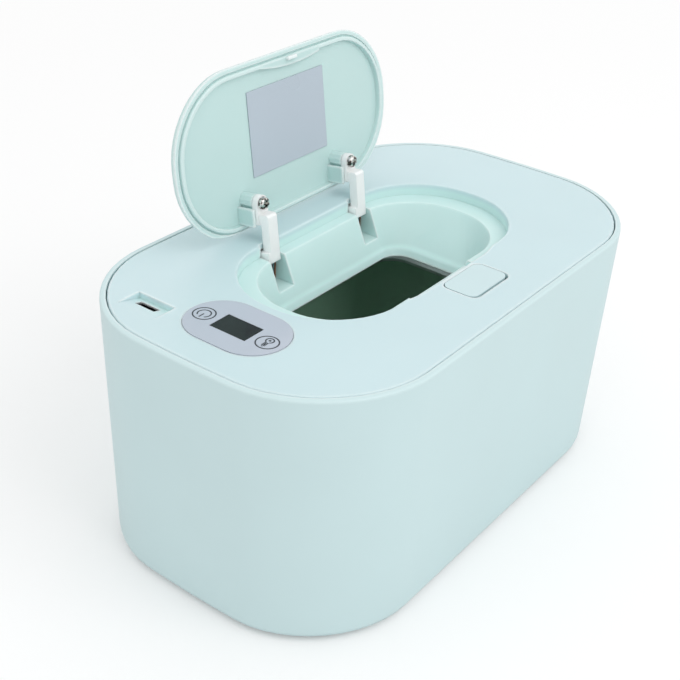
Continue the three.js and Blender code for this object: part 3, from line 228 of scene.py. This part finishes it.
def smoothing_nodes(degrees):
    """Geometry nodes that join a solid's triangles and shade it smooth, but for sharper edges."""
    group = bpy.data.node_groups.new(f"smooth_under_{degrees}_degrees", "GeometryNodeTree")
    for way in ("INPUT", "OUTPUT"):
        group.interface.new_socket("Geometry", in_out=way, socket_type="NodeSocketGeometry")
    start = add(group, "NodeGroupInput")
    merged = add(group, "GeometryNodeMergeByDistance",
                 {"Geometry": start.outputs[0], "Distance": JOINED_WITHIN})
    rounded = add(group, "GeometryNodeSetShadeSmooth", {"Geometry": merged.outputs[0]}, domain="FACE")
    bend = add(group, "GeometryNodeInputMeshEdgeAngle").outputs["Unsigned Angle"]
    sharp = add(group, "FunctionNodeCompare", {"A": bend, "B": math.radians(degrees)}, data_type="FLOAT",
                operation="GREATER_THAN")
    kept = {"Geometry": rounded.outputs[0], "Selection": sharp.outputs[0], "Shade Smooth": False}
    creased = add(group, "GeometryNodeSetShadeSmooth", kept, domain="EDGE")
    add(group, "NodeGroupOutput", {"Geometry": creased.outputs[0]})
    return group


SMOOTHING = smoothing_nodes(SHARP_FROM)


def smooth(solid):
    """Shades a solid smooth, with its sharp edges kept."""
    for name in ("custom_normal", "sharp_face", "sharp_edge"):
        if name in solid.data.attributes:
            solid.data.attributes.remove(solid.data.attributes[name])
    solid.modifiers.new("smooth_by_angle", "NODES").node_group = SMOOTHING
    solid.modifiers.new("weighted_normals", "WEIGHTED_NORMAL").keep_sharp = True


print("smoothing keeps edges above", SHARP_FROM, "degrees sharp")

# %% [markdown]
# ## Moulded plastic
# Nearly everything here is injection-moulded. The mould's surface prints itself on the part: a
# spark-eroded mould gives a fine satin grain, a polished one gives gloss. Three things make plastic read
# as plastic: a reflection that is sharp but weak (IOR about 1.5), a grain that breaks it up, and edges
# that are never quite sharp. The grain is a noise in the bump, the soft edge comes from the Bevel node,
# and a faint cloud in the colour stands for the pigment's uneven flow. The real grain is near 0.05 mm,
# too fine for this view, so it is drawn about eight times coarser.
#
# The mint mouldings need a little more: painted light and painted shade. A few small functions come first.
# - A mask for a box, seen from above. It paints shade on the walls of the charging socket's hole, near
#   black.
# - A mask for a rounded box, seen from above, that ends short of the cover's skirt.
# - The recess. Light goes to and fro there between walls of the same pigment, and that bounced light is
#   painted: the colour turns fuller below the deck. The mouth's lip, where the wall is thin, gets a faint
#   painted glow for light coming through.
# - Thin convex edges, which get a painted highlight: their colour is turned paler. Rays cast inwards by an
#   Ambient Occlusion node find them.

# %% Masks for the mint mouldings
# The painted highlight on thin convex edges:
EDGE_REACH = 1.1 * MM
EDGE_SPAN = (0.35, 0.92)
EDGE_HIGHLIGHT_COLOUR = "#f8fdfd"
# Painted shade for the walls of the socket's hole:
HOLE_SHADE_COLOUR = "#101112"
# Painted bounce light in the recess, and a painted glow at the lip:
RECESS_STARTS, RECESS_FULL = 0.5 * MM, 2.5 * MM
RECESS_REACH = (91 * MM, 50 * MM)
RECESS_FADES = 0.85
LIP_CLEAR, LIP_BEND = 18.2 * MM, 20.4 * MM
LIP_GLOW_PAINT = 0.22


def coordinate(tree, place, axis):
    """One coordinate of a place, by its number."""
    return add(tree, "ShaderNodeSeparateXYZ", {0: place}).outputs[axis]


def in_box(tree, place, middle, half):
    """1 inside the box with that middle and those half sizes along x and y, and 0 outside it."""
    inside = []
    for axis in range(2):
        away = maths(tree, "SUBTRACT", coordinate(tree, place, axis), middle[axis])
        inside.append(maths(tree, "LESS_THAN", maths(tree, "ABSOLUTE", away), half[axis]))
    return maths(tree, "MULTIPLY", *inside)


def in_rounded_box(tree, place, reach):
    """1 well inside a rounded box about the centre, and 0 beyond its reach along x and y."""
    powers = []
    for axis, half in enumerate(reach):
        share = maths(tree, "MULTIPLY", coordinate(tree, place, axis), 1 / half)
        square = maths(tree, "MULTIPLY", share, share)
        powers.append(maths(tree, "MULTIPLY", square, square))
    return ranged(tree, maths(tree, "ADD", *powers), RECESS_FADES, 1.0, 1.0, 0.0)


def recess_light_masks(tree, place, top):
    """How much a place in the recess under the height top gets of the painted bounce colour and of the
    painted lip glow.
    """
    height = coordinate(tree, place, 2)
    within = in_rounded_box(tree, place, RECESS_REACH)
    below = ranged(tree, height, top - RECESS_FULL, top - RECESS_STARTS, 1.0, 0.0)
    lip = ranged(tree, height, top - LIP_BEND, top - LIP_CLEAR, LIP_GLOW_PAINT, 0.0,
                 interpolation_type="SMOOTHSTEP")
    return maths(tree, "MULTIPLY", below, within), maths(tree, "MULTIPLY", lip, within)


def highlight_mask(tree, strength):
    """The strength of the painted highlight at thin convex edges, and 0 away from them."""
    inwards = add(tree, "ShaderNodeAmbientOcclusion", {"Distance": EDGE_REACH}, inside=True,
                  only_local=True, samples=6)
    return ranged(tree, inwards.outputs["AO"], *EDGE_SPAN, strength, 0.0)


print("light shows at edges up to", EDGE_REACH / MM, "mm deep")

# %% [markdown]
# The recipe itself takes a name, a colour and a roughness. Everything else has a usual value, and is
# given only where a plastic differs. The lengths with mm in their names are in millimetres, and so is the
# height of the grain.

# %% A recipe for moulded plastic
CLOUD_MM = 38
CLOUD_DARK, CLOUD_LIGHT = 0.965, 1.03
NOISE_SPAN = (0.3, 0.7)
GLOSSY_SIDE, MATT_SIDE = 0.92, 1.1


def moulded(name, colour, roughness, grain_mm=0.4, grain=0.006, edge_mm=0.25, ior=1.53, glow=0.0,
            glow_mm=1.0, coat=0.0, gloss=0.5, edge_highlight=0.0, recess=None, hole_shade=None):
    """A plastic as it comes out of its mould. glow is the share of light that spreads inside it."""
    made, out = empty_material(name)
    tree = made.node_tree
    place = add(tree, "ShaderNodeTexCoord").outputs["Object"]
    cloud = noise(tree, place, CLOUD_MM)
    base = linear(colour)
    dark = [c * CLOUD_DARK for c in base[:3]] + [1.0]
    light = [min(1, c * CLOUD_LIGHT) for c in base]
    tint = mixed(tree, cloud, dark, light)
    # Painted bounce light: in the recess below the deck the colour turns fuller.
    if recess:
        painted_bounce_colour, top = recess
        below, lip = recess_light_masks(tree, place, top)
        tint = mixed(tree, below, tint, linear(painted_bounce_colour))
    # Painted shade: the walls of the socket's hole are written near black.
    if hole_shade:
        tint = mixed(tree, in_box(tree, place, *hole_shade), tint, linear(HOLE_SHADE_COLOUR))
    # Painted highlight: thin convex edges are turned towards a pale colour.
    if edge_highlight:
        tint = mixed(tree, highlight_mask(tree, edge_highlight), tint, linear(EDGE_HIGHLIGHT_COLOUR))
    matt = ranged(tree, cloud, *NOISE_SPAN, roughness * GLOSSY_SIDE, roughness * MATT_SIDE)
    edge = add(tree, "ShaderNodeBevel", {"Radius": edge_mm * MM}, samples=6)
    grains = noise(tree, place, grain_mm)
    bump = add(tree, "ShaderNodeBump", {"Height": grains, "Distance": grain * MM, "Strength": 1.0,
                                        "Normal": edge.outputs[0]})
    inputs = {
        "Base Color": tint, "Roughness": matt, "Normal": bump.outputs[0], "IOR": ior,
        "Subsurface Weight": glow, "Subsurface Radius": (1.0, 1.0, 1.0), "Subsurface Scale": glow_mm * MM,
        "Coat Weight": coat, "Coat Roughness": 0.08, "Specular IOR Level": gloss,
    }
    # Painted glow: the lip's band gives off its own colour, standing for light through the thin wall.
    if recess:
        inputs.update({"Emission Color": tint, "Emission Strength": lip})
    skin = add(tree, "ShaderNodeBsdfPrincipled", inputs)
    tree.links.new(skin.outputs[0], out.inputs["Surface"])
    return made


print("recipe for plastics: grain usually 0.4 mm, edge 0.25 mm")

# %% [markdown]
# The shell, deck, lid and button are one mint ABS, each in a slightly different colour. Part of that is its
# own mould and part is painted light: the shell and the deck are written a little bluer than the lid, for
# the cool light on their open faces. The tub is green polypropylene. Little light reaches the tub and the
# tray, so both are written lighter than they look. The deck needs the height of its top and the place of
# the socket's hole, which are measured on the solids.

# %% Mint, green and grey plastics
HOLE_MARGIN = 0.35 * MM
DECK_TOP = max(vertex.co.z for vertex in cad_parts["deck_cover"].data.vertices)
socket_points = [vertex.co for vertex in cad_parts["usb_socket"].data.vertices]
socket_low = [min(point[axis] for point in socket_points) for axis in range(2)]
socket_high = [max(point[axis] for point in socket_points) for axis in range(2)]
SOCKET_MIDDLE = [(low + high) / 2 for low, high in zip(socket_low, socket_high)]
SOCKET_HALF = [high - middle + HOLE_MARGIN for middle, high in zip(SOCKET_MIDDLE, socket_high)]
print("socket hole", [round(c / MM, 2) for c in SOCKET_MIDDLE + SOCKET_HALF])
MINT_SHELL = moulded("abs_moulded_satin_mint_shell", "#c8dfe1", 0.42, edge_mm=0.4, edge_highlight=0.5)
# The deck gets painted bounce light and a painted glow in its recess, painted shade in the socket's hole
# and a painted highlight at its edges.
MINT_DECK = moulded("abs_moulded_satin_mint_deck", "#cae0e4", 0.34, edge_mm=0.6, glow=0.5, glow_mm=1.6,
                    edge_highlight=0.75, recess=("#d1ecea", DECK_TOP), hole_shade=(SOCKET_MIDDLE, SOCKET_HALF))
MINT_LID = moulded("abs_moulded_satin_mint_lid", "#c6e0de", 0.32, edge_mm=0.35, glow=0.3, glow_mm=1.2,
                   edge_highlight=0.85)
MINT_BUTTON = moulded("abs_moulded_satin_mint_button", "#cae0e3", 0.34)
GREEN_TUB = moulded("polypropylene_moulded_green_tub", "#a0c3ad", 0.5)
GREY_TRAY = moulded("abs_moulded_satin_grey_tray", "#e2e4e6", 0.4)
RUBBER = moulded("rubber_moulded_matt_grey", "#6f7573", 0.75, grain_mm=0.6, grain=0.02)
plastics = (MINT_SHELL, MINT_DECK, MINT_LID, MINT_BUTTON, GREEN_TUB, GREY_TRAY, RUBBER)
print("plastics:", [material.name for material in plastics])

# %% [markdown]
# The two arms are acetal, a slippery white plastic that lets a little light through: thin places look
# milky. That is subsurface scattering with a radius of a millimetre or two. The panel is clear
# polycarbonate printed on its back, so its colour lies under a glossy layer, and the window is smoked
# acrylic.

# %% Acetal, printed polycarbonate and acrylic
ACETAL = moulded("acetal_moulded_natural_white", "#fafcfc", 0.33, grain=0.002, edge_mm=0.5, ior=1.48,
                 glow=0.6, glow_mm=2.0)
PANEL = moulded("polycarbonate_back_printed_lavender_grey", "#b6bfcc", 0.3, grain=0.002, ior=1.58, coat=0.4)
WINDOW = moulded("acrylic_smoked_polished", "#14191a", 0.12, grain=0.0005, ior=1.49, gloss=0.3)
DISPLAY = moulded("epoxy_moulded_black_display", "#1b1d1f", 0.4)
STICKER = moulded("paper_coated_blank_label", "#b9c4cf", 0.28, grain_mm=0.8, grain=0.002, ior=1.45)
EPOXY = moulded("epoxy_dipped_black_sensor", "#222426", 0.2)
CERAMIC = moulded("ceramic_glazed_white_fuse", "#e8e6df", 0.15, ior=1.6)
LAMINATE = moulded("glass_epoxy_solder_masked_green", "#2c6b45", 0.35, grain_mm=0.8)
print("panel, window and arms are ready")

# %% [markdown]
# ## Metals
# A metal has no colour under its surface: all of it is in the reflection. Zinc-plated screws are pale
# grey and bright, with darker patches that are a painted reflection of a dark room. Spring wire plated
# with copper is warm, the socket's shell is steel painted near black as painted shade, for it lies deep in
# its hole, and rolled aluminium keeps the fine lines of the rolls, which is a noise stretched along X.
# Metals keep the default IOR.

# %% A recipe for metals
METAL_EDGE = 0.1 * MM
PATCH_MM = 1.1
PATCH_SPAN = (0.42, 0.56)


def plated(name, colour, roughness, line_mm=0.3, stretch=1.0, height=0.003, reflection_patch=None):
    """A bare or plated metal. stretch draws its lines out along X; reflection_patch colours painted
    reflections.
    """
    made, out = empty_material(name)
    tree = made.node_tree
    place = add(tree, "ShaderNodeTexCoord").outputs["Object"]
    drawn = add(tree, "ShaderNodeMapping", {"Vector": place, "Scale": (1 / stretch, 1, 1)})
    lines = noise(tree, drawn.outputs[0], line_mm, detail=3.0)
    matt = ranged(tree, lines, *NOISE_SPAN, roughness * 0.8, roughness * 1.25)
    edge = add(tree, "ShaderNodeBevel", {"Radius": METAL_EDGE}, samples=6)
    bump = add(tree, "ShaderNodeBump", {"Height": lines, "Distance": height * MM, "Strength": 1.0,
                                        "Normal": edge.outputs[0]})
    # Painted reflection: darker patches stand for a dark room seen in the metal.
    share = ranged(tree, noise(tree, place, PATCH_MM, detail=1.0), *PATCH_SPAN)
    tint = mixed(tree, share, linear(reflection_patch or colour), linear(colour))
    skin = add(tree, "ShaderNodeBsdfPrincipled", {
        "Base Color": tint, "Metallic": 1.0, "Roughness": matt, "Normal": bump.outputs[0],
    })
    tree.links.new(skin.outputs[0], out.inputs["Surface"])
    return made


ZINC = plated("steel_zinc_plated_screw", "#e3e1dd", 0.14, reflection_patch="#4c4744")
PIN_STEEL = plated("steel_ground_pin", "#b4b7ba", 0.25, stretch=12)
COPPER = plated("steel_copper_plated_spring_wire", "#a8664a", 0.3)
# Painted shade: the socket lies deep in its hole, so its steel is written near black.
SOCKET_SHADE = plated("steel_socket_painted_shade", "#0c0d0d", 0.6)
ALUMINIUM = plated("aluminium_rolled_sheet", "#c4c7c9", 0.34, line_mm=0.35, stretch=60, height=0.006)
print("metals:", [material.name for material in (ZINC, PIN_STEEL, COPPER, SOCKET_SHADE, ALUMINIUM)])

# %% [markdown]
# ## The heater film
# Under the cover lies a film of amber polyimide with an etched metal track that goes to and fro. The
# track is drawn in the material: bands across Y every six millimetres, a little darker and less glossy
# than the film. A Wave node of scale s repeats every pi / (10 s), which gives the scale for a pitch.

# %% Polyimide film with its etched track
TRACK_PITCH = 6 * MM
FILM, out = empty_material("polyimide_film_etched_track")
tree = FILM.node_tree
place = add(tree, "ShaderNodeTexCoord").outputs["Object"]
scale = math.pi / 10 / TRACK_PITCH
bands = add(tree, "ShaderNodeTexWave", {"Vector": place, "Scale": scale, "Distortion": 0.0},
            wave_type="BANDS", bands_direction="Y")
track = ranged(tree, bands.outputs["Fac"], 0.45, 0.55)
skin = add(tree, "ShaderNodeBsdfPrincipled", {
    "Base Color": mixed(tree, track, linear("#b8772a"), linear("#8a5a3a")),
    "Roughness": ranged(tree, track, 0.0, 1.0, 0.18, 0.4), "IOR": 1.7,
})
tree.links.new(skin.outputs[0], out.inputs["Surface"])
print("track pitch", TRACK_PITCH / MM, "mm")

# %% [markdown]
# ## Which solid gets which finish
# The CAD solids already have the object's shapes, so they stay and only take a finish. The table below
# names each one; a name that ends in a star stands for all nodes whose names begin that way.

# %% Dress the solids
FINISHES = {
    "outer_shell": MINT_SHELL, "deck_cover": MINT_DECK, "flip_lid": MINT_LID, "release_button": MINT_BUTTON,
    "inner_tub": GREEN_TUB, "under_tray": GREY_TRAY, "foot_*": RUBBER, "hinge_arm_*": ACETAL,
    "arm_screw_*": ZINC, "tray_screw_*": ZINC, "board_screw_*": ZINC, "hinge_pin_*": PIN_STEEL,
    "button_pin": PIN_STEEL, "button_spring": PIN_STEEL, "touch_spring_*": PIN_STEEL,
    "torsion_spring_*": COPPER, "control_panel": PANEL, "display_window": WINDOW, "display_module": DISPLAY,
    "usb_socket": SOCKET_SHADE, "lid_sticker": STICKER, "control_board": LAMINATE, "heater_plate": ALUMINIUM,
    "heater_film": FILM, "thermal_fuse": CERAMIC, "temperature_sensor": EPOXY,
}
dressed = 0
for pattern, finish in FINISHES.items():
    for name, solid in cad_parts.items():
        if name == pattern or (pattern.endswith("*") and name.startswith(pattern[:-1])):
            for slot in solid.material_slots:
                slot.material = finish
            smooth(solid)
            dressed += 1
print(dressed, "of", len(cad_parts), "solids dressed")

# %% [markdown]
# ## The touch symbols
# Two symbols are printed at the ends of the panel: a power mark and a lamp, each in a ring. Real ones are
# ink a few hundredths of a millimetre thick. Drawn as thin flat pieces they stay crisp from any distance,
# so each stroke is a strip laid along points, and all strokes of a symbol are joined in one mesh. The
# symbols are drawn in millimetres round their own centre, with "up" along +u, and up on this panel is the
# direction -X.

# %% Ink strokes
INK = moulded("ink_screen_printed_charcoal", "#242b35", 0.35, grain=0.001)
INK_THICK = 0.03 * MM
PANEL_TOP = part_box("control_panel")[1].z
RING_RADIUS = 3.65
RING_WIDTH = 0.46
LAST_STEP = 9
LINE_WIDTH = 0.44
ARC_STEPS = 40


def stroke(mesh, points, width, closed=False):
    """Lays a flat strip of ink along points (x, y), width wide, onto the panel's top."""
    line = [Vector((x, y, 0)) for x, y in points]
    count = len(line)
    sides = []
    for i, point in enumerate(line):
        before = line[i - 1] if closed or i else point
        after = line[(i + 1) % count] if closed or i < count - 1 else point
        along = (after - before).normalized()
        across = Vector((-along.y, along.x, 0)) * width / 2
        sides.append((point + across, point - across))
    layers = []
    for z in (PANEL_TOP, PANEL_TOP + INK_THICK):
        layers.append([[mesh.verts.new((p.x, p.y, z)) for p in pair] for pair in sides])
    low, high = layers
    for i in range(count if closed else count - 1):
        j = (i + 1) % count
        mesh.faces.new((high[i][1], high[j][1], high[j][0], high[i][0]))
        mesh.faces.new((low[i][0], low[j][0], low[j][1], low[i][1]))
        mesh.faces.new((low[i][1], low[j][1], high[j][1], high[i][1]))
        mesh.faces.new((high[i][0], high[j][0], low[j][0], low[i][0]))
    if not closed:
        for end, order in ((0, (0, 1)), (-1, (1, 0))):
            a, b = order
            mesh.faces.new((low[end][a], low[end][b], high[end][b], high[end][a]))


def arc(radius, start, end, middle=(0, 0)):
    """Points (u, v) on an arc about middle, with its angles in degrees measured from up."""
    angles = [math.radians(start + (end - start) * i / ARC_STEPS) for i in range(ARC_STEPS + 1)]
    return [(middle[0] + radius * math.cos(a), middle[1] + radius * math.sin(a)) for a in angles]


def symbol(name, centre, strokes):
    """Joins strokes, each its points and width in mm and whether it closes, to one piece on the cover."""
    mesh = bmesh.new()
    for points, width, closed in strokes:
        placed = [((centre[0] - u) * MM, (centre[1] - v) * MM) for u, v in points]
        stroke(mesh, placed, width * MM, closed)
    bmesh.ops.recalc_face_normals(mesh, faces=mesh.faces)
    data = bpy.data.meshes.new(name)
    mesh.to_mesh(data)
    mesh.free()
    made = bpy.data.objects.new(name, data)
    bpy.context.scene.collection.objects.link(made)
    data.materials.append(INK)
    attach(made, "cover")
    print(name, "has", len(data.polygons), "faces")


# A closed stroke joins its ends itself, so the ring's points stop one step short of the full turn.
ring = (arc(RING_RADIUS, 0, 360 - LAST_STEP), RING_WIDTH, True)

# %% [markdown]
# The power mark is a broken ring with a bar that runs from its centre up through the gap.

# %% Power symbol
POWER_AT = (-74.7, 13.0)
POWER_RADIUS = 2.2
POWER_GAP = 38
BAR_FOOT, BAR_HEAD = 0.1, 2.5
symbol("power_symbol", POWER_AT, [
    ring,
    (arc(POWER_RADIUS, POWER_GAP, 360 - POWER_GAP), LINE_WIDTH, False),
    ([(BAR_FOOT, 0), (BAR_HEAD, 0)], LINE_WIDTH, False),
])

# %% [markdown]
# The lamp is a round bulb with its filament as a dot, a neck with four turns of thread, and the contact
# at the very end.

# %% Lamp symbol
LAMP_AT = (-75.0, -12.8)
BULB_AT = (-1.3, 0)
BULB_RADIUS = 1.3
NECK_ANGLE = 26
FILAMENT_HALF, FILAMENT_WIDTH = 0.4, 0.8
CONTACT_FROM, CONTACT_TO, CONTACT_WIDTH = 2.4, 2.8, 0.6
THREADS = (0.2, 0.75, 1.3, 1.85)
THREAD_HALF, THREAD_SLANT, THREAD_WIDTH = 0.75, 0.2, 0.4
lamp = [
    ring,
    (arc(BULB_RADIUS, NECK_ANGLE, 360 - NECK_ANGLE, BULB_AT), LINE_WIDTH, False),
    ([(BULB_AT[0] - FILAMENT_HALF, 0), (BULB_AT[0] + FILAMENT_HALF, 0)], FILAMENT_WIDTH, False),
    ([(CONTACT_FROM, 0), (CONTACT_TO, 0)], CONTACT_WIDTH, False),
]
for turn in THREADS:
    lamp.append(([(turn, -THREAD_HALF), (turn + THREAD_SLANT, THREAD_HALF)], THREAD_WIDTH, False))
symbol("lamp_symbol", LAMP_AT, lamp)
